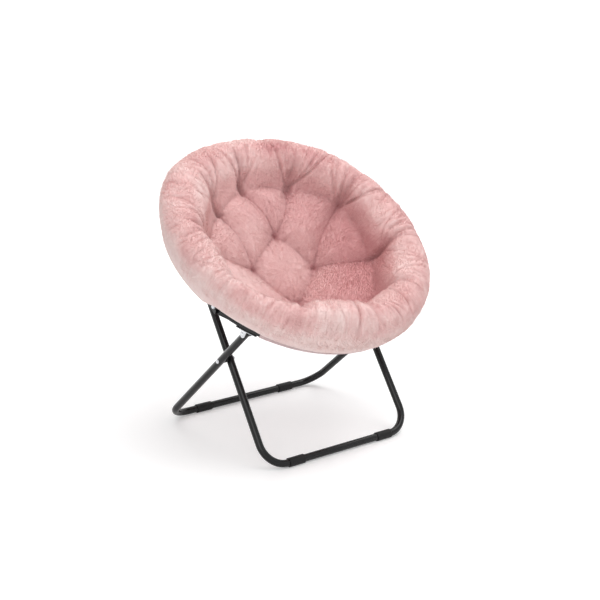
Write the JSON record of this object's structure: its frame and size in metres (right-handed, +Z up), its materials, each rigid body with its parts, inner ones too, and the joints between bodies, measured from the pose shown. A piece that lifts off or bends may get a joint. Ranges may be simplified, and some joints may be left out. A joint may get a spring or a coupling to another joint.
{
  "type": "folding saucer chair",
  "caption": "Folding saucer chair: crossed U-shaped tube legs carry a hinged round hoop with a cloth sling and a deep tufted round cushion",
  "frame": {"origin": "On the floor, at the middle of the overall box in plan, which is under the middle of the cushion ring", "axes": "+Z up, the sitter faces -Y, X across the chair"},
  "size_m": [0.8278, 0.7306, 0.8341],
  "materials": {
    "frame_paint": "gloss black powder paint on bent steel tube",
    "channel_paint": "gloss black painted steel sheet",
    "zinc": "bright zinc-plated steel sheet and rivets",
    "black_plastic": "satin black moulded plastic",
    "sling_cloth": "plain woven grey-mauve backing cloth",
    "plush": "short-pile pink faux-fur plush, sewn and tufted"
  },
  "bodies": {
    "front_leg": {"front_leg": "frame_paint", "front_foot_left": "black_plastic", "front_foot_right": "black_plastic", "front_leg_plug_left": "black_plastic", "front_leg_plug_right": "black_plastic", "cross_rivet_left": "zinc", "cross_rivet_right": "zinc", "cross_spacer_left": "black_plastic", "cross_spacer_right": "black_plastic"},
    "rear_leg": {"rear_leg": "frame_paint", "rear_foot_left": "black_plastic", "rear_foot_right": "black_plastic", "rear_leg_plug_left": "black_plastic", "rear_leg_plug_right": "black_plastic"},
    "front_hoop": {"front_hoop": "frame_paint", "front_bracket_left": "zinc", "front_bracket_right": "zinc", "front_pivot_rivet_left": "zinc", "front_pivot_rivet_right": "zinc", "front_bracket_rivets": "zinc", "sling_front": "sling_cloth", "cushion_front": "plush"},
    "back_hoop": {"back_hoop": "frame_paint", "hinge_channel_left": "channel_paint", "hinge_channel_right": "channel_paint", "hinge_pin_left": "zinc", "hinge_pin_right": "zinc", "channel_rivets": "zinc", "back_bracket_left": "zinc", "back_bracket_right": "zinc", "back_pivot_studs": "zinc", "back_bracket_rivets": "zinc", "sling_back": "sling_cloth", "cushion_back": "plush"}
  },
  "joints": [
    {"name": "hoop_fold", "type": "hinge", "parent": "front_hoop", "child": "back_hoop", "pos_m": [0, -0.0952, 0.47201], "axis": [1, 0, 0], "range_deg": [0, 124], "deforming": ["cushion_back", "cushion_front", "sling_back", "sling_front"]},
    {"name": "front_pivot", "type": "hinge", "parent": "rear_leg", "child": "front_hoop", "pos_m": [0, -0.15717, 0.39922], "axis": [-1, 0, 0], "range_deg": [0, 72]},
    {"name": "leg_cross", "type": "hinge", "parent": "front_leg", "child": "rear_leg", "pos_m": [0, -0.03153, 0.28063], "axis": [-1, 0, 0], "range_deg": [0, 32.8]}
  ],
  "couplings": [
    {"joint": "front_pivot", "follows": "hoop_fold", "ratio": 0.57898},
    {"joint": "leg_cross", "follows": "hoop_fold", "ratio": 0.26242}
  ]
}
